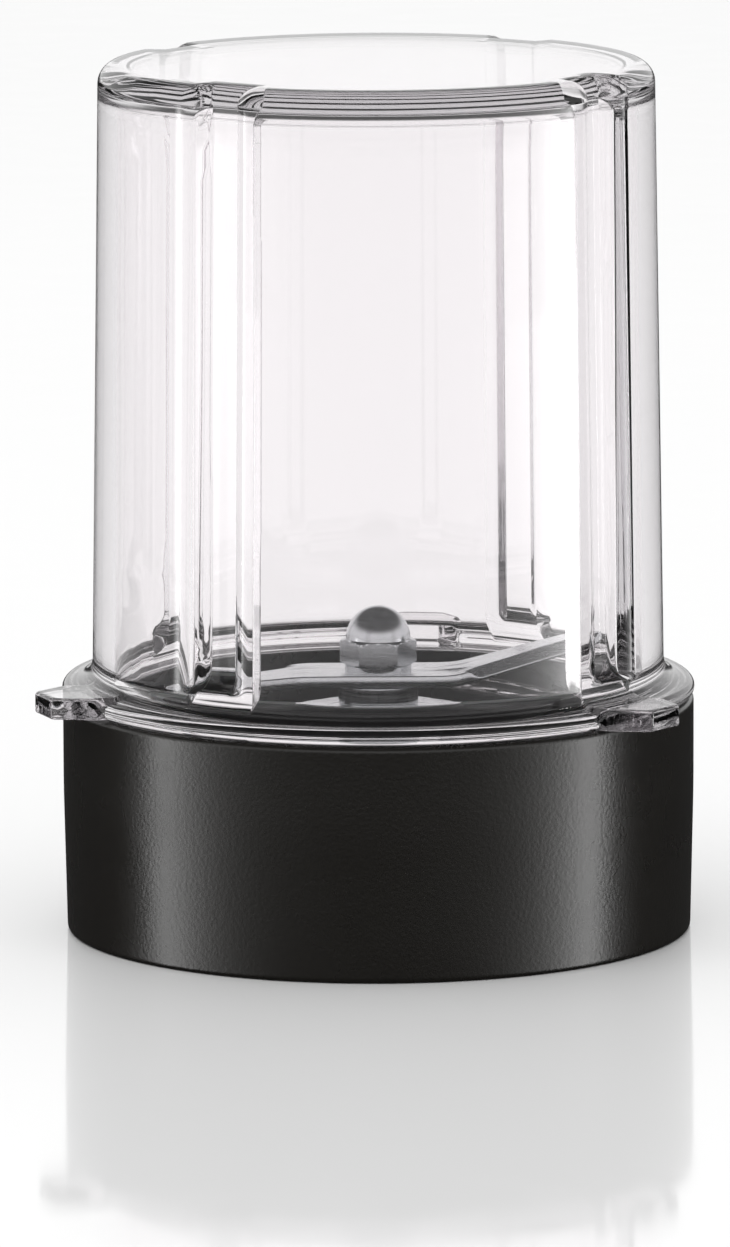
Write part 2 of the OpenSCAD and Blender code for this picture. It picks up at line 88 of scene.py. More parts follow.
def turn(name, description, degrees):
    """Angle property, written in degrees and kept in radians."""
    return FloatProperty(name=name, description=description, default=math.radians(degrees), unit="ROTATION")


def colour(name, description, hex_colour):
    """Colour property, written as sRGB hex and kept as linear RGB."""
    return FloatVectorProperty(name=name, description=description, default=linear(hex_colour),
                               subtype="COLOR", min=0, max=1)


class CupSizes(PropertyGroup):
    """Sizes of the clear cup."""
    top_z: length("Top", "Height of the closed end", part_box("cup")[1].z / MM)
    neck_z: length("Mouth", "Height of the mouth's rim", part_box("cup")[0].z / MM)
    flange_z: length("Flange", "Height of the flange's underside", 30.62)
    top_r: length("Top radius", "Outer radius at the closed end", 35.9)
    foot_r: length("Foot radius", "Outer radius just above the flange", 37.1)
    wall: length("Wall", "Wall thickness at the closed end", 2.4)
    foot_wall: length("Foot wall", "Wall thickness at the foot", 2.8)
    roof: length("Closed end", "Thickness of the closed end", 3.1)
    edge: length("Edge", "Rounding round the closed end", 2.6)
    inner_edge: length("Inner edge", "Rounding inside, under the closed end", 1.8)
    flange_r: length("Flange radius", "Radius of the flange", 41.1)
    flange_t: length("Flange thickness", "Thickness of the flange at its rim", 2.1)
    flare: length("Flare", "Height over which the flange runs up into the wall", 2.8)
    neck_r: length("Neck radius", "Outer radius of the neck", 36.6)
    neck_wall: length("Neck wall", "Thickness of the neck", 2.2)
    flutes: IntProperty(name="Flutes", description="Number of flutes", default=4, min=1)
    flute_turn: turn("First flute", "Direction of the first flute", 55)
    flute_depth: length("Flute depth", "Depth of a flute", 2.8)
    flute_w: length("Flute width", "Width of a flute over its rounded shoulders", 10.8)
    flute_round: length("Flute shoulder", "Rounding of a flute's shoulders", 2.9)
    flute_fillet: length("Flute fillet", "Width of the fillet along a flute's floor", 0.7)
    flute_end: length("Flute end", "Height over which a flute runs out above the flange", 3.4)
    tabs: IntProperty(name="Tabs", description="Number of locking tabs", default=3, min=1)
    tab_turn: turn("First tab", "Direction of the first tab", 82)
    tab_tip: length("Tab tip", "Distance of a tab's tip from the axis", 46.52)
    tab_w: length("Tab width", "Width of a tab's tip", 5.9)
    tab_ramp: length("Tab ramp", "How much wider a tab is at its root, on each side", 4.2)
    tab_t: length("Tab thickness", "Thickness of a tab", 2.8)


class ThreadSizes(PropertyGroup):
    """Sizes of the thread between cup and collar."""
    starts: IntProperty(name="Starts", description="Number of thread starts", default=3, min=1)
    lead: length("Lead", "Rise in one full turn", 15)
    ridge_h: length("Ridge height", "Radial height of a ridge", 1.4)
    ridge_w: length("Ridge width", "Width of a ridge at its root", 2.0)
    cup_span: turn("Cup ridge", "Length of each ridge on the cup", 80)
    collar_span: turn("Collar ridge", "Length of each ridge in the collar", 60)
    cup_z: length("Cup ridge start", "Height at which the cup's ridges start", 23.22)
    flank_gap: length("Flank gap", "Clearance between the flanks of meeting ridges", 0.3)


class BaseSizes(PropertyGroup):
    """Sizes of the blade base that stands still."""
    top_z: length("Collar height", "Height of the collar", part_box("base_collar")[1].z / MM)
    top_r: length("Collar radius", "Outer radius of the collar at its top edge", 41.0)
    draft: length("Collar draft", "How much smaller the collar is at its foot", 0.4)
    land: length("Land", "Height of the straight land at the collar's top", 12.0)
    edge: length("Edge", "Rounding of the collar's edges", 0.7)
    bore_r: length("Bore", "Radius of the threaded bore", 38.4)
    socket_r: length("Socket radius", "Radius of the socket in the foot", 38.2)
    socket_z: length("Socket depth", "Depth of the socket in the foot", 6.0)
    seat_r: length("Cover seat", "Radius of the cover's seat", 37.55)
    stop_r: length("Cover stop", "Radius inside the cover's stop", 36.5)
    stop_z: length("Cover top", "Height of the cover's stop", 8.62)
    ledge_r: length("Ledge radius", "Radius inside the ledge that carries the deck", 32.0)
    ledge_z: length("Ledge", "Height of the ledge's underside", 13.6)
    deck_z: length("Deck", "Height of the deck's underside", 16.1)
    seat_z: length("Deck top", "Height of the deck's rim", 19.1)
    deck_r: length("Deck radius", "Radius of the deck", 36.88)
    hub_r: length("Hub radius", "Radius of the hub and the sleeve's flange", 11.0)
    hub_z: length("Hub top", "Height of the hub", 27.1)
    hub_under_z: length("Hub underside", "Height of the hub's underside", 22.1)
    sleeve_r: length("Sleeve radius", "Outer radius of the bearing sleeve", 8.0)
    sleeve_z: length("Sleeve foot", "Height of the sleeve's lower end", 15.6)
    sleeve_top_z: length("Sleeve top", "Height of the sleeve's flange", 28.6)
    bush_r: length("Bush bore", "Radius of the sleeve's bore for the bushes", 5.05)
    seal_r: length("Seal bore", "Radius of the sleeve's bore for the seal", 6.65)
    seal_z: length("Seal seat", "Height of the seal's seat", 25.3)
    gasket_t: length("Gasket", "Thickness of the gasket's seat", 2.0)
    gasket_r: length("Gasket radius", "Outer radius of the gasket", 36.2)
    lip_r: length("Lip radius", "Outer radius of the gasket's lip", 34.28)
    lip_h: length("Lip height", "Height of the gasket's lip above its seat", 2.0)


class RotorSizes(PropertyGroup):
    """Sizes of the spinning pieces."""
    blade_z: length("Blade height", "Height of the blade's underside at the shaft", 32.1)
    blade_r: length("Blade radius", "Radius that the blade sweeps", 28.0)
    blade_t: length("Blade thickness", "Thickness of the blade", 1.6)
    root_w: length("Wing root", "Width of a wing at its root", 11.0)
    tip_w: length("Wing tip", "Width of a wing at its tip", 7.0)
    bend_r: length("Bend", "Distance from the axis at which a wing is bent", 10.0)
    bend_up: turn("Raised wing", "Bend of the raised wing", 16)
    bend_down: turn("Lowered wing", "Bend of the lowered wing", 7)
    ground_w: length("Ground edge", "Width of the ground edge", 2.2)
    edge_t: length("Edge thickness", "Thickness left at the ground edge", 0.55)
    hole_r: length("Hole", "Radius of the hole for the shaft", 2.45)
    spacer_z: length("Spacer foot", "Height of the spacer's underside", 28.9)
    spacer_r: length("Spacer radius", "Outer radius of the spacer", 5.2)
    shaft_r: length("Spacer bore", "Radius of the spacer's bore", 3.05)
    nut_z: length("Nut", "Height of the nut's underside", 34.5)
    nut_d: length("Nut size", "Size of the nut across its corners", 10.0)
    nut_t: length("Hexagon", "Height of the nut's hexagon", 3.4)
    dome_r: length("Dome", "Radius of the nut's dome", 4.2)


class FinishColours(PropertyGroup):
    """Colours of the finishes."""
    clear: colour("Clear plastic", "Clear copolyester of the cup", "#fffdfe")
    clear_depth: colour("Clear depth", "What a thick layer of the clear plastic lets through", "#3c003c")
    black: colour("Black plastic", "Satin ABS of the collar", "#1b1916")
    dark: colour("Dark plastic", "Polypropylene of the deck and cover", "#1c1c1c")
    nylon_dark: colour("Dark nylon", "Nylon of the drive coupling", "#242427")
    nylon: colour("Nylon", "Natural nylon of the thrust washer", "#e2dfd2")
    silicone: colour("Silicone", "Silicone of the gasket", "#c9cac6")
    rubber: colour("Rubber", "Nitrile rubber of the seals", "#1b1b1c")
    steel: colour("Steel", "Stainless steel of the blade and bearing", "#c6c8ca")
    spring: colour("Spring steel", "Blued spring steel of the clip", "#55585c")
    bronze: colour("Bronze", "Sintered bronze of the bushes", "#b07d4a")
    brass: colour("Brass", "Brass of the coupling's insert", "#c9a65a")
    floor: colour("Floor", "Gloss white table", "#fdfdfd")


class StudioSizes(PropertyGroup):
    """Camera and light of the studio."""
    distance: length("Camera distance", "Distance of the camera in front of the axis", 1400)
    height: length("Camera height", "Height of the camera above the floor", 271)
    aim_x: length("Aim sideways", "Point looked at, to the right of the axis", -1.7)
    aim_z: length("Aim height", "Height of the point looked at", 39.7)
    roll: turn("Roll", "Roll of the camera", -0.2)
    lens: FloatProperty(name="Lens", description="Focal length", default=315.3, unit="CAMERA")
    ambient: FloatProperty(name="Ambient", description="Strength of the room's light", default=0.85)
    softbox_far: length("Softbox distance", "Distance of the softboxes from the axis", 700)
    lamp_size: length("Lamp size", "Width of the lamp overhead", 1200)
    lamp_power: FloatProperty(name="Lamp power", description="Power of the lamp overhead", default=6,
                              unit="POWER")
    table_half: length("Table", "Half the width of the table", 6000)


# Shapes: arrays of points, whole at a time

def unit(vectors):
    """Vectors brought to length one."""
    return vectors / np.linalg.norm(vectors, axis=-1, keepdims=True)


def smooth(share):
    """Share from 0 to 1 that starts and ends level: 3 s squared less 2 s cubed."""
    s = np.clip(share, 0, 1)
    return s * s * (3 - 2 * s)


def soft_min(a, b, radius):
    """Smaller of two values, with the corner where they cross rounded over a width."""
    share = np.clip(0.5 + 0.5 * (b - a) / radius, 0, 1)
    return b + (a - b) * share - radius * share * (1 - share)


def soft_max(a, b, radius):
    """Larger of two values, with the corner where they cross rounded over a width."""
    return -soft_min(-a, -b, radius)


def off_nearest(angle, first, count):
    """Angle from the nearest of some evenly spread directions, from minus to plus half their spacing."""
    step = FULL_TURN / count
    return (angle - first + step / 2) % step - step / 2


def round_angles(count):
    """Directions spread evenly round the axis."""
    return np.arange(count) * FULL_TURN / count


def crowded_angles(count, crowding):
    """Directions round the axis, closer together where a crowding function of direction is high.

    The directions divide the running sum of 1 plus the crowding evenly.
    """
    fine_count = 20001
    fine = np.linspace(0, FULL_TURN, fine_count)
    total = np.concatenate([[0], np.cumsum(1 + crowding(fine[1:]))])
    return np.interp(np.arange(count) * total[-1] / count, total, fine)


def quarter(rows, first=0.0):
    """Angles of a quarter turn, one for each row, from a first share of it."""
    return np.linspace(first, 1, rows)[:, None] * QUARTER_TURN


def softened(corners, radius, steps=5, closed=True):
    """Outline with its corners rounded.

    At each corner a parabola runs from one side to the next, from points at a distance of radius, or of
    a share of the shorter side where that is less. A short straight lead on both sides keeps the flats
    flat in the light.
    """
    side_share = 0.4
    lead_share = 1.2
    corners = np.asarray(corners, float)
    back = np.roll(corners, 1, 0) - corners
    ahead = np.roll(corners, -1, 0) - corners
    shortest = np.minimum(np.linalg.norm(back, axis=1), np.linalg.norm(ahead, axis=1))
    reach = np.minimum(np.broadcast_to(radius, shortest.shape), side_share * shortest)[:, None]
    start = corners + unit(back) * reach
    end = corners + unit(ahead) * reach
    t = np.linspace(0, 1, steps + 1)[None, :, None]
    bow = (1 - t) ** 2 * start[:, None] + 2 * t * (1 - t) * corners[:, None] + t ** 2 * end[:, None]
    lead_in = corners + unit(back) * reach * lead_share
    lead_out = corners + unit(ahead) * reach * lead_share
    rows = np.concatenate([lead_in[:, None], bow, lead_out[:, None]], 1)
    if closed:
        return rows.reshape(-1, 2)
    return np.concatenate([corners[:1], rows[1:-1].reshape(-1, 2), corners[-1:]])


def turned(radius, height, angle):
    """Points of a turned surface: each row of radii and heights carried round the axis."""
    radius, height = np.broadcast_arrays(radius, height, np.zeros((1, len(angle))))[:2]
    return np.stack([radius * np.cos(angle), radius * np.sin(angle), height], -1)


def grid_mesh(name, points, tip=None, end=None):
    """Closed mesh on rows of points that run round.

    Quads lie between neighbours, and the last column joins the first. With tip and end, a fan of
    triangles closes the first and the last row on a point. Without, the last row joins the first. Rows
    that run outwards over the top and down the outside face out.
    """
    rows, columns = points.shape[:2]
    row = np.arange(rows if tip is None else rows - 1)[:, None]
    column = np.arange(columns)[None, :]
    below = (row + 1) % rows
    beside = (column + 1) % columns
    quads = np.stack([row * columns + column, below * columns + column, below * columns + beside,
                      row * columns + beside], -1).reshape(-1, 4)
    vertices = points.reshape(-1, 3)
    fans = np.zeros((0, 3), int)
    if tip is not None:
        first = np.arange(columns)
        after = (first + 1) % columns
        last = (rows - 1) * columns
        top = np.stack([np.full(columns, len(vertices)), first, after], -1)
        bottom = np.stack([last + first, np.full(columns, len(vertices) + 1), last + after], -1)
        fans = np.concatenate([top, bottom])
        vertices = np.concatenate([vertices, [tip, end]])
    mesh = bpy.data.meshes.new(name)
    mesh.vertices.add(len(vertices))
    mesh.vertices.foreach_set("co", vertices.astype(np.float32).ravel())
    mesh.loops.add(quads.size + fans.size)
    corners = np.concatenate([quads.ravel(), fans.ravel()])
    mesh.loops.foreach_set("vertex_index", corners.astype(np.int32))
    sides = np.concatenate([np.full(len(quads), 4), np.full(len(fans), 3)])
    mesh.polygons.add(len(sides))
    mesh.polygons.foreach_set("loop_start", (np.cumsum(sides) - sides).astype(np.int32))
    mesh.polygons.foreach_set("use_smooth", np.ones(len(sides), bool))
    mesh.update(calc_edges=True)
    if mesh.validate():
        raise RuntimeError(f"{name}: the mesh had faults")
    return mesh


def new_object(name, data):
    """Object of a mesh, a light or a camera, linked into the scene."""
    item = bpy.data.objects.new(name, data)
    bpy.context.scene.collection.objects.link(item)
    return item


def add_piece(mesh, body, slot, material, *nodes):
    """Object of a mesh that rides on a body, stands for nodes of the frame and carries a finish."""
    piece = new_object(mesh.name, mesh)
    piece.data.materials.append(material)
    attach(piece, body)
    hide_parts(*nodes)


def thread_share(angle, height, first, span, start_z, thread):
    """Share of the thread's ridges, 0 to 1.

    Each start climbs by the lead in a turn. The share falls from 1 on the crest to 0 at the root across
    a flank, and to 0 at both ends of the ridge.
    """
    crest_share = 0.45
    run_out = math.radians(5)
    half = thread.ridge_w / 2
    starts = first + np.arange(thread.starts)[:, None, None] * FULL_TURN / thread.starts
    along = (angle[None, None, :] - starts) % FULL_TURN
    off = np.abs(height[None] - start_z - thread.lead * along / FULL_TURN)
    flank = (half - off) / (half - crest_share * half)
    ends = np.minimum(along, span - along) / run_out
    return (smooth(flank) * smooth(ends)).max(0)


def fluted(radius, floor, shoulder, lean, angle, cup):
    """Radius of a wall with flutes.

    On each ray it is the wall's own radius or, within a flute, the larger of a straight floor across the
    flute and of two round shoulders. A shoulder is a circle that touches the wall from inside where the
    flute begins.
    """
    off = np.abs(off_nearest(angle, cup.flute_turn, cup.flutes))[None, :]
    inside = np.minimum(off - lean, 0)
    centre = radius - shoulder
    reach = np.clip(shoulder ** 2 - (centre * np.sin(inside)) ** 2, 0, None)
    side = np.where(reach > 0, centre * np.cos(inside) + np.sqrt(reach), 0)
    return np.minimum(soft_max(side, floor / np.cos(off), cup.flute_fillet), radius)


def flange_rim(angle, cup):
    """Radius of the flange's rim: its own circle or, where larger, a tab's tip and two straight sides."""
    corner = 0.5 * MM
    off = off_nearest(angle, cup.tab_turn, cup.tabs)
    root = cup.flange_r - cup.flange_t
    half = cup.tab_w / 2
    slope = cup.tab_ramp / (cup.tab_tip - root)
    side = (half + slope * cup.tab_tip) / (np.abs(np.sin(off)) + slope * np.cos(off))
    tab = soft_min(cup.tab_tip / np.cos(off), side, corner)
    return soft_max(cup.flange_r, tab, corner)


def cup_points(cup, thread):
    """Rows of the clear cup: over its closed end, down the outside, round the mouth and up the inside.

    Each row is a radius and a height in every direction. The wall's radius falls evenly with height and
    is cut by the flutes, which fade out above the flange. The flange's rim is widened by the tabs, and
    the neck by the ridges.
    """
    flute_crowding = 9
    tab_crowding = 4
    least_shoulder = 0.3 * MM
    tab_run = 1.2 * MM
    tab_edge = 0.45 * MM
    tab_rise_from = 0.6
    neck_fillet = 0.3 * MM
    lip = 0.4 * MM

    # Shares of each stretch at which its rows lie, closer together where it bends
    face_shares = np.array([0.3, 0.6, 0.85, 0.97])[:, None]
    wall_shares = np.concatenate([np.linspace(0.01, 0.9, 22), np.linspace(0.908, 1, 15)])[:, None]
    flat_shares = np.array([0.2, 0.55, 0.92])[:, None]
    below_shares = np.array([0.08, 0.5, 0.92])[:, None]
    inside_shares = np.concatenate([np.linspace(0.01, 0.1, 4), np.linspace(0.11, 0.24, 14),
                                    np.linspace(0.27, 1, 18)])[:, None]
    roof_shares = np.array([0.98, 0.7, 0.35])[:, None]

    flute_span = math.asin(cup.flute_w / 2 / cup.top_r)
    tab_span = math.asin((cup.tab_w / 2 + cup.tab_ramp) / cup.flange_r)
    wall_z = cup.flange_z + cup.flange_t + cup.flare
    roof_z = cup.top_z - cup.roof
    mouth_r = cup.neck_r - cup.neck_wall

    def crowding(direction):
        """Extra columns over the flutes and the tabs."""
        on_flute = np.abs(off_nearest(direction, cup.flute_turn, cup.flutes)) < flute_span
        on_tab = np.abs(off_nearest(direction, cup.tab_turn, cup.tabs)) < tab_span
        return flute_crowding * on_flute + tab_crowding * on_tab

    angle = crowded_angles(CUP_COLUMNS, crowding)

    def outside(z):
        """Outer radius at heights, between the flutes."""
        return cup.foot_r + (cup.top_r - cup.foot_r) * (z - wall_z) / (cup.top_z - wall_z)

    def depth(rise):
        """Depth of a flute by the height above its foot, where it runs out on a quarter of an ellipse."""
        return cup.flute_depth * np.sqrt(1 - (1 - np.clip(rise / cup.flute_end, 0, 1)) ** 2)

    def outer(z, inset=0.0):
        """Outer outline at heights, flutes included, drawn in by an inset."""
        radius = outside(z)
        floor = radius - depth(z - wall_z)
        lean = np.arcsin(cup.flute_w / 2 / radius)
        return fluted(radius - inset, floor - inset, cup.flute_round - inset, lean, angle, cup)

    def inner(z, inset=0.0):
        """Inner outline at heights, a wall's thickness inside the outer one, drawn in by an inset."""
        radius = np.interp(z, [cup.flange_z, wall_z, roof_z],
                           [mouth_r, cup.foot_r - cup.foot_wall, cup.top_r - cup.wall])
        floor = radius - depth(z - wall_z + cup.wall)
        shoulder = np.maximum(cup.flute_round - outside(z) + radius - inset, least_shoulder)
        lean = np.arcsin(cup.flute_w / 2 / outside(z))
        return fluted(radius - inset, floor - inset, shoulder, lean, angle, cup)

    t = quarter(rows=12)
    corner_z = cup.top_z - cup.edge * (1 - np.cos(t))
    corner_r = outer(corner_z, cup.edge * (1 - np.sin(t)))
    face_r = face_shares * corner_r[:1]
    face_z = np.full_like(face_r, cup.top_z)
    side_z = cup.top_z - cup.edge + (wall_z - cup.top_z + cup.edge) * wall_shares
    side_r = outer(side_z)

    rim = flange_rim(angle, cup)[None, :]
    on_tab = smooth((rim - cup.flange_r) / tab_run)
    rim_t = cup.flange_t + (cup.tab_t - cup.flange_t) * on_tab
    rim_edge = cup.flange_t / 2 + (tab_edge - cup.flange_t / 2) * on_tab
    t = quarter(rows=9, first=0.06)
    flare_r = cup.foot_r + cup.flare * (1 - np.cos(t))
    flare_z = wall_z - cup.flare * np.sin(t) + (rim_t - cup.flange_t) * smooth(t - tab_rise_from)
    flat_r = cup.foot_r + cup.flare + flat_shares * (rim - rim_edge - cup.foot_r - cup.flare)
    flat_z = np.broadcast_to(cup.flange_z + rim_t, flat_r.shape)
    t = quarter(rows=7)
    over_r = rim - rim_edge * (1 - np.sin(t))
    over_z = cup.flange_z + rim_t - rim_edge * (1 - np.cos(t))
    under_r = rim - rim_edge * (1 - np.cos(t))
    under_z = cup.flange_z + rim_edge * (1 - np.sin(t))
    below_r = rim - rim_edge + below_shares * (cup.neck_r + neck_fillet - rim + rim_edge)
    below_z = np.full_like(below_r, cup.flange_z)

    neck_z = np.linspace(cup.flange_z - neck_fillet, cup.neck_z + lip, NECK_ROWS)[:, None]
    neck_z = np.broadcast_to(neck_z, (NECK_ROWS, CUP_COLUMNS))
    ridges = thread_share(angle, neck_z, 0, thread.cup_span, thread.cup_z, thread)
    neck_r = cup.neck_r + thread.ridge_h * ridges
    t = quarter(rows=6)
    lip_out_r = cup.neck_r - lip * (1 - np.cos(t))
    lip_out_z = cup.neck_z + lip * (1 - np.sin(t))
    lip_in_r = mouth_r + lip * (1 - np.sin(t))
    lip_in_z = cup.neck_z + lip * (1 - np.cos(t))

    inside_z = cup.neck_z + lip + inside_shares * (roof_z - cup.inner_edge - cup.neck_z - lip)
    inside_r = inner(inside_z)
    t = quarter(rows=10)[1:]
    shoulder_z = roof_z - cup.inner_edge * (1 - np.sin(t))
    shoulder_r = inner(shoulder_z, cup.inner_edge * (1 - np.cos(t)))
    under_roof_r = roof_shares * shoulder_r[-1:]
    under_roof_z = np.full_like(under_roof_r, roof_z)
    rows = [
        (face_r, face_z), (corner_r, corner_z), (side_r, side_z),
        (flare_r, flare_z), (flat_r, flat_z), (over_r, over_z), (under_r, under_z), (below_r, below_z),
        (neck_r, neck_z), (lip_out_r, lip_out_z), (lip_in_r, lip_in_z), (inside_r, inside_z),
        (shoulder_r, shoulder_z), (under_roof_r, under_roof_z),
    ]
    points = np.concatenate([turned(r, z, angle) for r, z in rows])
    return points, (0, 0, cup.top_z), (0, 0, roof_z)


def ring_mesh(name, corners, radius, columns=RING_COLUMNS):
    """Turned ring: an outline of radius and height, its corners softened, carried round the axis."""
    outline = softened(corners, radius)
    return grid_mesh(name, turned(outline[:, :1], outline[:, 1:], round_angles(columns)))


def collar_points(base, thread):
    """Rows of the collar: its softened outside, the steps underneath, then the bore with its ridges."""
    angle = round_angles(COLLAR_COLUMNS)
    corners = [
        (base.bore_r, base.top_z - base.edge), (base.bore_r, base.top_z), (base.top_r, base.top_z),
        (base.top_r, base.top_z - base.land), (base.top_r - base.draft, 0), (base.socket_r, 0),
        (base.socket_r, base.socket_z), (base.seat_r, base.socket_z), (base.seat_r, base.stop_z),
        (base.stop_r, base.stop_z), (base.stop_r, base.ledge_z), (base.ledge_r, base.ledge_z),
        (base.ledge_r, base.deck_z), (base.bore_r, base.deck_z), (base.bore_r, base.deck_z + base.edge),
    ]
    edge_shares = np.array([1, 0.5, 1, 4, 1, 0.5, 0.3, 0.3, 0.3, 0.3, 0.5, 0.5, 0.5, 0.3, 1])
    outline = softened(corners, edge_shares * base.edge, closed=False)
    margin = 1.5 * base.edge
    bore_z = np.linspace(base.deck_z + margin, base.top_z - margin, BORE_ROWS)[:, None]
    bore_z = np.broadcast_to(bore_z, (BORE_ROWS, COLLAR_COLUMNS))
    first = (thread.cup_span - thread.collar_span) / 2
    start_z = thread.cup_z + thread.ridge_w + thread.flank_gap + thread.lead * first / FULL_TURN
    ridges = thread_share(angle, bore_z, first, thread.collar_span, start_z, thread)
    bore_r = base.bore_r - thread.ridge_h * ridges
    return np.concatenate([turned(outline[:, :1], outline[:, 1:], angle), turned(bore_r, bore_z, angle)])


def blade_points(rotor):
    """Rows of the blade: from the hole out over the top, round the edge and back underneath.

    In plan a row lies a share of the way from the hole to the outline. Its height follows two bends,
    each a hyperbola between the flat middle and the wing's slope. A ground edge takes a wedge off the
    top along each leading side.
    """
    rim_rows = 5
    plan_corner = 0.8 * MM
    soft_edge = 0.22 * MM
    soft_bend = 1.2 * MM
    ground_from = 11.5 * MM
    ground_run = 2 * MM
    shares = np.array([0, 0.04, 0.2, 0.4, 0.55, 0.64, 0.66, 0.68, 0.78, 0.88, 0.95, 0.99])[:, None, None]
    root = rotor.root_w / 2
    tip = rotor.tip_w / 2
    reach = rotor.blade_r
    wing = np.array([(rotor.bend_r, -root), (reach - tip / 2, -tip), (reach, 0), (reach - tip, tip),
                     (rotor.bend_r, root)])
    outline = softened(np.concatenate([wing, -wing]), plan_corner, steps=6)
    closed = np.concatenate([outline, outline[:1]])
    walk = np.concatenate([[0], np.cumsum(np.linalg.norm(np.diff(closed, axis=0), axis=1))])
    stops = np.linspace(0, walk[-1], BLADE_COLUMNS, endpoint=False)
    edge = np.stack([np.interp(stops, walk, closed[:, 0]), np.interp(stops, walk, closed[:, 1])], -1)
    along = np.roll(edge, -1, 0) - np.roll(edge, 1, 0)
    inward = unit(np.stack([-along[:, 1], along[:, 0]], -1))
    hole = unit(edge) * rotor.hole_r
    flat = hole + shares * (edge + inward * soft_edge - hole)
    t = np.linspace(0, math.pi, rim_rows + 2)[1:-1, None, None]
    rim = edge + inward * soft_edge * (1 - np.sin(t))
    plan = np.concatenate([flat, rim, flat[::-1]])
    rim_level = (1 + np.cos(t[:, 0, 0])) / 2
    level = np.concatenate([np.ones(len(flat)), rim_level, np.zeros(len(flat))])[:, None]
    x = plan[..., 0]
    y = plan[..., 1]

    def raised(out, slope):
        """Rise of a bent wing by the distance outwards."""
        beyond = out - rotor.bend_r
        return math.tan(slope) * (np.sqrt(beyond ** 2 + soft_bend ** 2) + beyond) / 2

    height = raised(x, rotor.bend_up) - raised(-x, rotor.bend_down)
    side = np.sign(x)
    lead_from = wing[0]
    lead = unit(wing[1] - lead_from)
    off = (side * y - lead_from[1]) * lead[0] - (side * x - lead_from[0]) * lead[1]
    ground = np.clip(1 - off / rotor.ground_w, 0, 1) * smooth((np.abs(x) - ground_from) / ground_run)
    thickness = rotor.blade_t - (rotor.blade_t - rotor.edge_t) * ground
    return np.stack([x, y, rotor.blade_z + height + level * thickness], -1)


def nut_points(rotor):
    """Rows of the dome nut: the dome, the hexagon, the underside and the hole.

    The hexagon's corners are turned off by a cone at both ends: the radius is the smaller of the two.
    """
    dome_rows = 14
    dome_from = 0.12
    cone_from = 0.985
    cone_slope = 2.2
    hole_depth = 0.97 * rotor.nut_t
    side_turn = FULL_TURN / 6
    side_shares = np.array([0, 0.04, 0.08, 0.12, 0.18, 0.24, 0.76, 0.82, 0.88, 0.92, 0.96, 1])[:, None]
    under_shares = np.array([0.8, 0.62])[:, None]
    hole_shares = np.array([0, 0.05, 0.5, 0.95, 1])[:, None]
    angle = round_angles(NUT_COLUMNS)
    flat = rotor.nut_d / 2 * math.cos(side_turn / 2)
    hexagon = flat / np.cos(angle % side_turn - side_turn / 2)[None, :]
    top_z = rotor.nut_z + rotor.nut_t
    t = np.linspace(dome_from, QUARTER_TURN, dome_rows)[:, None]
    dome_r = rotor.dome_r * np.sin(t)
    dome_z = top_z + rotor.dome_r * np.cos(t)
    side_z = top_z - rotor.nut_t * side_shares
    cone = flat * cone_from + cone_slope * rotor.nut_t * np.minimum(side_shares, 1 - side_shares)
    side_r = np.minimum(hexagon, cone)
    under_r = under_shares * flat
    under_z = np.full_like(under_r, rotor.nut_z)
    hole_z = rotor.nut_z + hole_shares * hole_depth
    hole_r = np.full_like(hole_z, rotor.hole_r)
    rows = [(dome_r, dome_z), (side_r, side_z), (under_r, under_z), (hole_r, hole_z)]
    points = np.concatenate([turned(r, z, angle) for r, z in rows])
    return points, (0, 0, top_z + rotor.dome_r), (0, 0, rotor.nut_z + hole_depth)


# Finishes: node materials

WHITE = (1, 1, 1, 1)

# Range in which most values of a noise pattern lie
NOISE_RANGE = {"From Min": 0.3, "From Max": 0.7}


def add(tree, kind, inputs=None, **settings):
    """Adds a shader node, sets its properties, and fills its inputs with values or links from outputs."""
    node = tree.nodes.new("ShaderNode" + kind)
    for key, value in settings.items():
        setattr(node, key, value)
    for key, value in (inputs or {}).items():
        if isinstance(value, bpy.types.NodeSocket):
            tree.links.new(value, node.inputs[key])
        else:
            node.inputs[key].default_value = value
    return node


def empty_tree(owner):
    """Node tree of a material or a world, with nothing in it."""
    owner.use_nodes = True
    owner.node_tree.nodes.clear()
    return owner.node_tree


def per_mm(millimetres):
    """Texture scale at which one feature is as wide as that many millimetres."""
    return 1 / (millimetres * MM)


def new_material(name):
    """Material with an empty node tree, its tree and its Object coordinates."""
    material = bpy.data.materials.new(name)
    tree = empty_tree(material)
    return material, tree, add(tree, "TexCoord").outputs["Object"]


def grained(name, base_colour, roughness, grain, depth, shader):
    """Finish whose surface has a grain of a size and depth in millimetres.

    Its roughness wanders between two values, in patches some millimetres wide. Real grains are mostly
    finer, and are drawn as coarse as they need to be to show.
    """
    patch = 14
    material, tree, place = new_material(name)
    patches = add(tree, "TexNoise", {"Vector": place, "Scale": per_mm(patch), "Detail": 4.0})
    rough = add(tree, "MapRange", {"Value": patches.outputs["Fac"], **NOISE_RANGE,
                                   "To Min": roughness[0], "To Max": roughness[1]})
    speckle = add(tree, "TexNoise", {"Vector": place, "Scale": per_mm(grain), "Detail": 2.0})
    bump = add(tree, "Bump", {"Height": speckle.outputs["Fac"], "Strength": 0.5, "Distance": depth * MM})
    surface = add(tree, "BsdfPrincipled",
                  {"Base Color": (*base_colour, 1), "Roughness": rough.outputs["Result"],
                   "Normal": bump.outputs["Normal"], **shader})
    add(tree, "OutputMaterial", {"Surface": surface.outputs["BSDF"]})
    return material


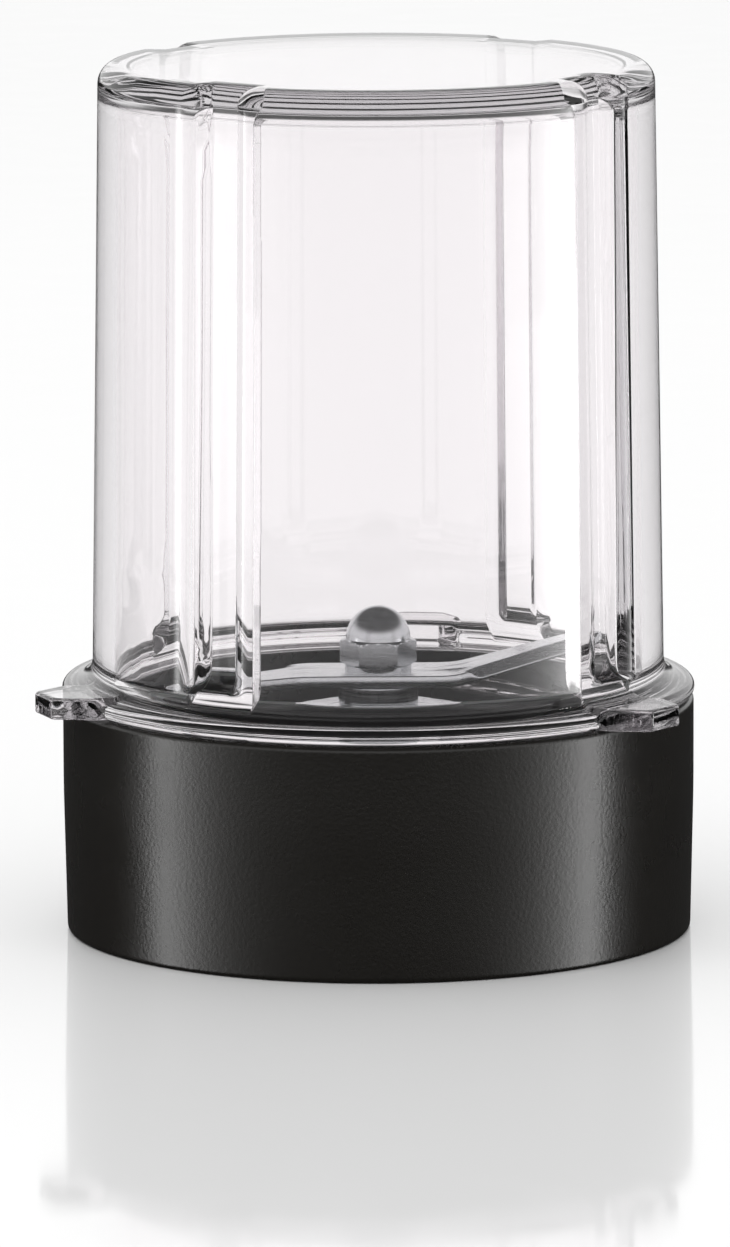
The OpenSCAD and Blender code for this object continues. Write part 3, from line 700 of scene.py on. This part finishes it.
def brushed(name, base_colour, roughness, stretch):
    """Metal with parallel lines: noise stretched along one way, in both the roughness and the bump.

    The lines are drawn coarser than real ones, so that they show.
    """
    scratch_w = 0.35
    scratch_depth = 0.01
    material, tree, place = new_material(name)
    lines = add(tree, "Mapping", {"Vector": place, "Scale": stretch})
    scratch = add(tree, "TexNoise",
                  {"Vector": lines.outputs["Vector"], "Scale": per_mm(scratch_w), "Detail": 3.0})
    rough = add(tree, "MapRange", {"Value": scratch.outputs["Fac"], **NOISE_RANGE,
                                   "To Min": roughness[0], "To Max": roughness[1]})
    bump = add(tree, "Bump",
               {"Height": scratch.outputs["Fac"], "Strength": 0.25, "Distance": scratch_depth * MM})
    surface = add(tree, "BsdfPrincipled",
                  {"Base Color": (*base_colour, 1), "Metallic": 1.0,
                   "Roughness": rough.outputs["Result"], "Normal": bump.outputs["Normal"]})
    add(tree, "OutputMaterial", {"Surface": surface.outputs["BSDF"]})
    return material


def clear_copolyester(colours):
    """Injection-moulded clear copolyester.

    It bends light strongly, flow waves make its edges waver, and it greys a little in depth.
    """
    material = grained("clear_copolyester_moulded", colours.clear, roughness=(0.0, 0.03), grain=16,
                       depth=0.008, shader={"IOR": 1.5, "Transmission Weight": 1.0})
    tree = material.node_tree
    depth = add(tree, "VolumeAbsorption", {"Color": (*colours.clear_depth, 1), "Density": 8.0})
    tree.links.new(depth.outputs["Volume"], tree.nodes["Material Output"].inputs["Volume"])
    return material


def satin_abs(colours):
    """Black ABS from a spark-eroded mould: an even grain that spreads highlights into soft bands."""
    return grained("satin_black_abs", colours.black, roughness=(0.25, 0.3), grain=0.5, depth=0.06,
                   shader={"IOR": 1.5})


def dark_polypropylene(colours):
    """Dark polypropylene from a duller mould: waxy, with broad weak highlights."""
    return grained("dark_polypropylene_moulded", colours.dark, roughness=(0.42, 0.52), grain=0.7,
                   depth=0.02, shader={"IOR": 1.49})


def dark_nylon(colours):
    """Glass-filled dark nylon: dull, with a coarse fibre speckle."""
    return grained("dark_glass_filled_nylon", colours.nylon_dark, roughness=(0.5, 0.6), grain=0.5,
                   depth=0.03, shader={"IOR": 1.53})


def natural_nylon(colours):
    """Natural nylon: milky, with light that sinks in a little."""
    return grained("natural_nylon", colours.nylon, roughness=(0.35, 0.45), grain=0.6, depth=0.01,
                   shader={"IOR": 1.53, "Subsurface Weight": 0.2})


def grey_silicone(colours):
    """Moulded silicone rubber: soft, matt and slightly see-through at its edges."""
    return grained("grey_silicone_moulded", colours.silicone, roughness=(0.45, 0.55), grain=0.8, depth=0.02,
                   shader={"IOR": 1.41, "Subsurface Weight": 0.15})


def nitrile_rubber(colours):
    """Black nitrile rubber: matt and even."""
    return grained("black_nitrile_rubber", colours.rubber, roughness=(0.55, 0.68), grain=0.5, depth=0.02,
                   shader={"IOR": 1.52})


def sintered_bronze(colours):
    """Oil-filled sintered bronze: a metal full of fine pores."""
    return grained("sintered_bronze", colours.bronze, roughness=(0.35, 0.5), grain=0.3, depth=0.03,
                   shader={"Metallic": 1.0})


def turned_brass(colours):
    """Turned brass: bright, with tool lines round it that show as fine rings along its height."""
    return brushed("turned_brass", colours.brass, roughness=(0.18, 0.3), stretch=(0.04, 0.04, 1))


def brushed_steel(colours):
    """Stamped stainless steel brushed along the blade: long fine scratches that streak the reflections."""
    return brushed("brushed_stainless_steel", colours.steel, roughness=(0.16, 0.3), stretch=(0.05, 1, 1))


def turned_steel(colours):
    """Turned stainless steel: bright, with fine rings from the tool."""
    return brushed("turned_stainless_steel", colours.steel, roughness=(0.14, 0.26), stretch=(0.04, 0.04, 1))


def spring_steel(colours):
    """Blued spring steel: dark and smooth, with faint rolling lines."""
    return brushed("blued_spring_steel", colours.spring, roughness=(0.25, 0.38), stretch=(1, 0.06, 1))


def gloss_table(colours):
    """Gloss white acrylic: a pale body under a smooth skin that mirrors more the flatter it is seen."""
    return grained("gloss_white_table", colours.floor, roughness=(0.05, 0.09), grain=6, depth=0.002,
                   shader={"IOR": 1.5})


# Studio: the room and the softboxes

def studio_world(studio):
    """Room that is white where the camera sees it, and dimmer as light.

    Mirrored or looked through, it is white round the horizon, dark grey overhead and nearly black below.
    The limits are heights of a direction, from -1 straight down to 1 straight up.
    """
    overhead_from = 0.25
    overhead_full = 0.6
    overhead_level = 0.1
    beneath_from = 0.02
    beneath_full = -0.05
    beneath_level = 0.03
    world = bpy.data.worlds.new("studio_room")
    tree = empty_tree(world)
    path = add(tree, "LightPath").outputs
    way = add(tree, "TexCoord").outputs["Generated"]
    up = add(tree, "SeparateXYZ", {"Vector": way}).outputs["Z"]
    overhead = add(tree, "MapRange", {"Value": up, "From Min": overhead_from, "From Max": overhead_full,
                                      "To Min": 1.0, "To Max": overhead_level},
                   interpolation_type="SMOOTHSTEP")
    beneath = add(tree, "MapRange", {"Value": up, "From Min": beneath_full, "From Max": beneath_from,
                                     "To Min": beneath_level, "To Max": 1.0},
                  interpolation_type="SMOOTHSTEP")
    room = add(tree, "Math", {0: overhead.outputs["Result"], 1: beneath.outputs["Result"]},
               operation="MINIMUM")
    mirrored = add(tree, "Math", {0: path["Is Glossy Ray"], 1: path["Is Transmission Ray"]},
                   operation="MAXIMUM")
    level = add(tree, "Mix", {0: mirrored.outputs["Value"], 2: studio.ambient, 3: room.outputs["Value"]},
                data_type="FLOAT")
    strength = add(tree, "Math", {0: path["Is Camera Ray"], 1: level.outputs[0]}, operation="MAXIMUM")
    light = add(tree, "Background", {"Color": WHITE, "Strength": strength.outputs["Value"]})
    add(tree, "OutputWorld", {"Surface": light.outputs["Background"]})
    return world


def softbox(name, dim_turn, bright_turn, strength, studio):
    """Curved softbox round the axis that only mirrored rays see.

    Its points lie on a circle round the axis, on a grid of direction by height. From the bright end the
    brightness falls by the same ratio for each equal step, and right at that end it fades out softly. It
    fades out low above the table too, so that the table mirrors little of it. The room shows through.
    """
    dimmest = 0.0025
    end_fade = 0.04
    heights = np.array([-350, 40, 100]) * MM
    row_glow = np.array([1, 1, 0])[:, None]
    share = np.linspace(0, 1, SOFTBOX_COLUMNS)
    angle = np.radians(dim_turn + (bright_turn - dim_turn) * share)
    glow = dimmest ** (1 - share) * smooth((1 - share) / end_fade)
    far = studio.softbox_far
    wall = np.stack([far * np.sin(angle), -far * np.cos(angle)], -1)
    points = np.concatenate([np.insert(wall, 2, z, axis=1) for z in heights])
    row = np.arange(len(heights) - 1)[:, None]
    below = (row * SOFTBOX_COLUMNS + np.arange(SOFTBOX_COLUMNS - 1)).reshape(-1)
    above = below + SOFTBOX_COLUMNS
    faces = np.stack([below, below + 1, above + 1, above], -1)
    mesh = bpy.data.meshes.new(name)
    mesh.from_pydata(points.tolist(), [], faces.tolist())
    bright = mesh.attributes.new("bright", "FLOAT", "POINT")
    bright.data.foreach_set("value", (row_glow * glow).astype(np.float32).ravel())
    material = bpy.data.materials.new(name + "_cloth")
    tree = empty_tree(material)
    along = add(tree, "Attribute", attribute_name="bright").outputs["Fac"]
    level = add(tree, "Math", {0: along, 1: strength}, operation="MULTIPLY")
    light = add(tree, "Emission", {"Color": WHITE, "Strength": level.outputs["Value"]})
    through = add(tree, "BsdfTransparent")
    both = add(tree, "AddShader", {0: light.outputs["Emission"], 1: through.outputs["BSDF"]})
    add(tree, "OutputMaterial", {"Surface": both.outputs["Shader"]})
    box = new_object(name, mesh)
    box.data.materials.append(material)
    box.visible_camera = False
    box.visible_diffuse = False
    box.visible_transmission = False
    box.visible_shadow = False


# Operators: one for each piece or group of pieces, and one for the studio

class GRINDER_OT_cup(Operator):
    """Build the clear cup"""
    bl_idname = "grinder.cup"
    bl_label = "Clear cup"

    def execute(self, context):
        scene = context.scene
        points, tip, end = cup_points(scene.grinder_cup, scene.grinder_thread)
        mesh = grid_mesh("clear_cup", points, tip, end)
        add_piece(mesh, "cup", "clear_plastic", clear_copolyester(scene.grinder_colours), "cup")
        return {"FINISHED"}


class GRINDER_OT_collar(Operator):
    """Build the black collar that the cup screws into"""
    bl_idname = "grinder.collar"
    bl_label = "Collar"

    def execute(self, context):
        scene = context.scene
        mesh = grid_mesh("black_collar", collar_points(scene.grinder_base, scene.grinder_thread))
        add_piece(mesh, "base", "black_plastic", satin_abs(scene.grinder_colours), "base_collar")
        return {"FINISHED"}


class GRINDER_OT_chamber_floor(Operator):
    """Build the deck, the gasket and the bearing sleeve at the bottom of the chamber"""
    bl_idname = "grinder.chamber_floor"
    bl_label = "Chamber floor"

    def execute(self, context):
        base = context.scene.grinder_base
        colours = context.scene.grinder_colours
        fit = 0.05 * MM
        spigot_lift = 0.12 * MM
        spigot_wall = 3 * MM
        cone_run = 2 * MM
        cone_drop = 2.67 * MM
        rim_run = 1 * MM
        under_run = 3.5 * MM
        lip_wall = 1 * MM

        # Each outline goes with one rounding for each of its corners
        hole_r = base.sleeve_r + fit
        spigot_r = base.ledge_r - fit
        spigot_in_r = spigot_r - spigot_wall
        spigot_z = base.ledge_z + spigot_lift
        deck = ring_mesh("chamber_deck", [
            (hole_r, base.hub_under_z), (hole_r, base.hub_z), (base.hub_r, base.hub_z),
            (base.hub_r + cone_run, base.hub_z - cone_drop), (base.ledge_r - rim_run, base.seat_z),
            (base.deck_r, base.seat_z), (base.deck_r, base.deck_z), (spigot_r, base.deck_z),
            (spigot_r, spigot_z), (spigot_in_r, spigot_z), (spigot_in_r, base.deck_z),
            (base.hub_r + under_run, base.hub_under_z),
        ], np.array([0.2, 0.2, 0.4, 3, 4, 0.4, 0.4, 0.2, 0.4, 0.4, 1, 1]) * MM)
        add_piece(deck, "base", "dark_plastic", dark_polypropylene(colours), "blade_deck")

        lip_in_r = base.lip_r - lip_wall
        seat_top_z = base.seat_z + base.gasket_t
        lip_z = seat_top_z + base.lip_h
        gasket = ring_mesh("mouth_gasket", [
            (lip_in_r, base.seat_z), (lip_in_r, lip_z), (base.lip_r, lip_z), (base.lip_r, seat_top_z),
            (base.gasket_r, seat_top_z), (base.gasket_r, base.seat_z),
        ], np.array([0.3, 0.45, 0.45, 0.4, 0.5, 0.5]) * MM)
        add_piece(gasket, "seal", "silicone", grey_silicone(colours), "cup_gasket")

        sleeve = ring_mesh("bearing_housing", [
            (base.bush_r, base.sleeve_z), (base.bush_r, base.seal_z), (base.seal_r, base.seal_z),
            (base.seal_r, base.sleeve_top_z), (base.hub_r, base.sleeve_top_z), (base.hub_r, base.hub_z),
            (base.sleeve_r, base.hub_z), (base.sleeve_r, base.sleeve_z),
        ], np.array([0.3, 0.2, 0.2, 0.2, 0.5, 0.3, 0.2, 0.4]) * MM)
        add_piece(sleeve, "base", "steel", turned_steel(colours), "bearing_sleeve")
        return {"FINISHED"}


class GRINDER_OT_rotor(Operator):
    """Build the blade, its spacer and its nut"""
    bl_idname = "grinder.rotor"
    bl_label = "Blade and nut"

    def execute(self, context):
        rotor = context.scene.grinder_rotor
        colours = context.scene.grinder_colours
        sharp_blade = math.radians(35)
        sharp_nut = math.radians(28)
        spacer_edge = 0.3 * MM
        blade = grid_mesh("blade_plate", blade_points(rotor))
        blade.set_sharp_from_angle(angle=sharp_blade)
        add_piece(blade, "rotor", "steel", brushed_steel(colours), "blade")

        steel = bpy.data.materials["turned_stainless_steel"]
        points, tip, end = nut_points(rotor)
        nut = grid_mesh("dome_nut", points, tip, end)
        nut.set_sharp_from_angle(angle=sharp_nut)
        add_piece(nut, "rotor", "steel", steel, "blade_nut")

        spacer = ring_mesh("spacer_ring", [
            (rotor.shaft_r, rotor.spacer_z), (rotor.shaft_r, rotor.blade_z),
            (rotor.spacer_r, rotor.blade_z), (rotor.spacer_r, rotor.spacer_z),
        ], spacer_edge, SPACER_COLUMNS)
        add_piece(spacer, "rotor", "steel", steel, "blade_spacer")
        return {"FINISHED"}


class GRINDER_OT_inner_pieces(Operator):
    """Give the bearing, seal, drive and fastening pieces of the frame their finishes"""
    bl_idname = "grinder.inner_pieces"
    bl_label = "Inner pieces"

    def execute(self, context):
        colours = context.scene.grinder_colours
        finishes = {
            bpy.data.materials["turned_stainless_steel"]: (
                "deck_screws", "cover_screws", "sleeve_washer", "sleeve_nut", "seal_cap", "blade_shaft",
                "lock_washer"),
            bpy.data.materials["dark_polypropylene_moulded"]: ("bottom_cover",),
            nitrile_rubber(colours): ("sleeve_o_ring", "lip_seal"),
            sintered_bronze(colours): ("upper_bush", "lower_bush"),
            natural_nylon(colours): ("thrust_washer",),
            spring_steel(colours): ("retaining_clip",),
            dark_nylon(colours): ("drive_coupling",),
            turned_brass(colours): ("coupling_insert",),
        }
        for material, nodes in finishes.items():
            for node in nodes:
                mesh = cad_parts[node].data
                mesh.materials.clear()
                mesh.materials.append(material)
        return {"FINISHED"}


class GRINDER_OT_studio(Operator):
    """Build the floor, the light and the camera"""
    bl_idname = "grinder.studio"
    bl_label = "Studio"

    def execute(self, context):
        scene = context.scene
        studio = scene.grinder_studio
        half = studio.table_half
        corners = [(-half, -half, 0), (half, -half, 0), (half, half, 0), (-half, half, 0)]
        mesh = bpy.data.meshes.new("table")
        mesh.from_pydata(corners, [], [(0, 1, 2, 3)])
        table = new_object("table", mesh)
        table.data.materials.append(gloss_table(scene.grinder_colours))
        table.visible_glossy = False

        softbox("left_softbox", dim_turn=-14, bright_turn=-89.5, strength=8.8, studio=studio)
        softbox("right_softbox", dim_turn=15, bright_turn=88, strength=11.0, studio=studio)

        lamp = bpy.data.lights.new("overhead_lamp", "AREA")
        lamp.shape = "DISK"
        lamp.size = studio.lamp_size
        lamp.energy = studio.lamp_power
        lamp_place = Vector((-0.2, -0.3, 1.6))
        lamp_aim = Vector((0, 0, 0.05))
        overhead = new_object("overhead_lamp", lamp)
        overhead.location = lamp_place
        overhead.rotation_euler = (lamp_aim - lamp_place).to_track_quat("-Z", "Y").to_euler()
        overhead.visible_camera = False
        overhead.visible_glossy = False
        overhead.visible_transmission = False

        camera = new_object("photo_camera", bpy.data.cameras.new("photo_camera"))
        camera.data.lens = studio.lens
        camera.data.sensor_width = 36
        camera.data.clip_end = 50
        camera.location = (0, -studio.distance, studio.height)
        look = Vector((studio.aim_x, 0, studio.aim_z)) - camera.location
        camera.rotation_mode = "QUATERNION"
        camera.rotation_quaternion = look.to_track_quat("-Z", "Y") @ Quaternion((0, 0, 1), studio.roll)
        scene.camera = camera
        scene.world = studio_world(studio)

        # The clear wall reflects light inside itself many times
        scene.cycles.max_bounces = 24
        scene.cycles.glossy_bounces = 16
        scene.cycles.transmission_bounces = 24
        scene.view_settings.view_transform = "Standard"
        return {"FINISHED"}


class GRINDER_PT_panel(Panel):
    """Lists the steps that build the grinding cup"""
    bl_idname = "GRINDER_PT_panel"
    bl_label = "Grinding cup"
    bl_space_type = "VIEW_3D"
    bl_region_type = "UI"
    bl_category = "Grinding cup"

    def draw(self, context):
        for operator in OPERATORS:
            self.layout.operator(operator.bl_idname)


GROUPS = {
    "grinder_cup": CupSizes,
    "grinder_thread": ThreadSizes,
    "grinder_base": BaseSizes,
    "grinder_rotor": RotorSizes,
    "grinder_colours": FinishColours,
    "grinder_studio": StudioSizes,
}
OPERATORS = (
    GRINDER_OT_cup,
    GRINDER_OT_collar,
    GRINDER_OT_chamber_floor,
    GRINDER_OT_rotor,
    GRINDER_OT_inner_pieces,
    GRINDER_OT_studio,
)


def register():
    """Registers the groups of sizes, the operators and the panel."""
    for name, group in GROUPS.items():
        bpy.utils.register_class(group)
        setattr(bpy.types.Scene, name, PointerProperty(type=group))
    for operator in OPERATORS:
        bpy.utils.register_class(operator)
    bpy.utils.register_class(GRINDER_PT_panel)


def unregister():
    """Takes back what register did."""
    bpy.utils.unregister_class(GRINDER_PT_panel)
    for operator in reversed(OPERATORS):
        bpy.utils.unregister_class(operator)
    for name, group in GROUPS.items():
        delattr(bpy.types.Scene, name)
        bpy.utils.unregister_class(group)


def main():
    register()
    bpy.ops.grinder.cup()
    bpy.ops.grinder.collar()
    bpy.ops.grinder.chamber_floor()
    bpy.ops.grinder.rotor()
    bpy.ops.grinder.inner_pieces()
    bpy.ops.grinder.studio()


if __name__ == "__main__":
    main()
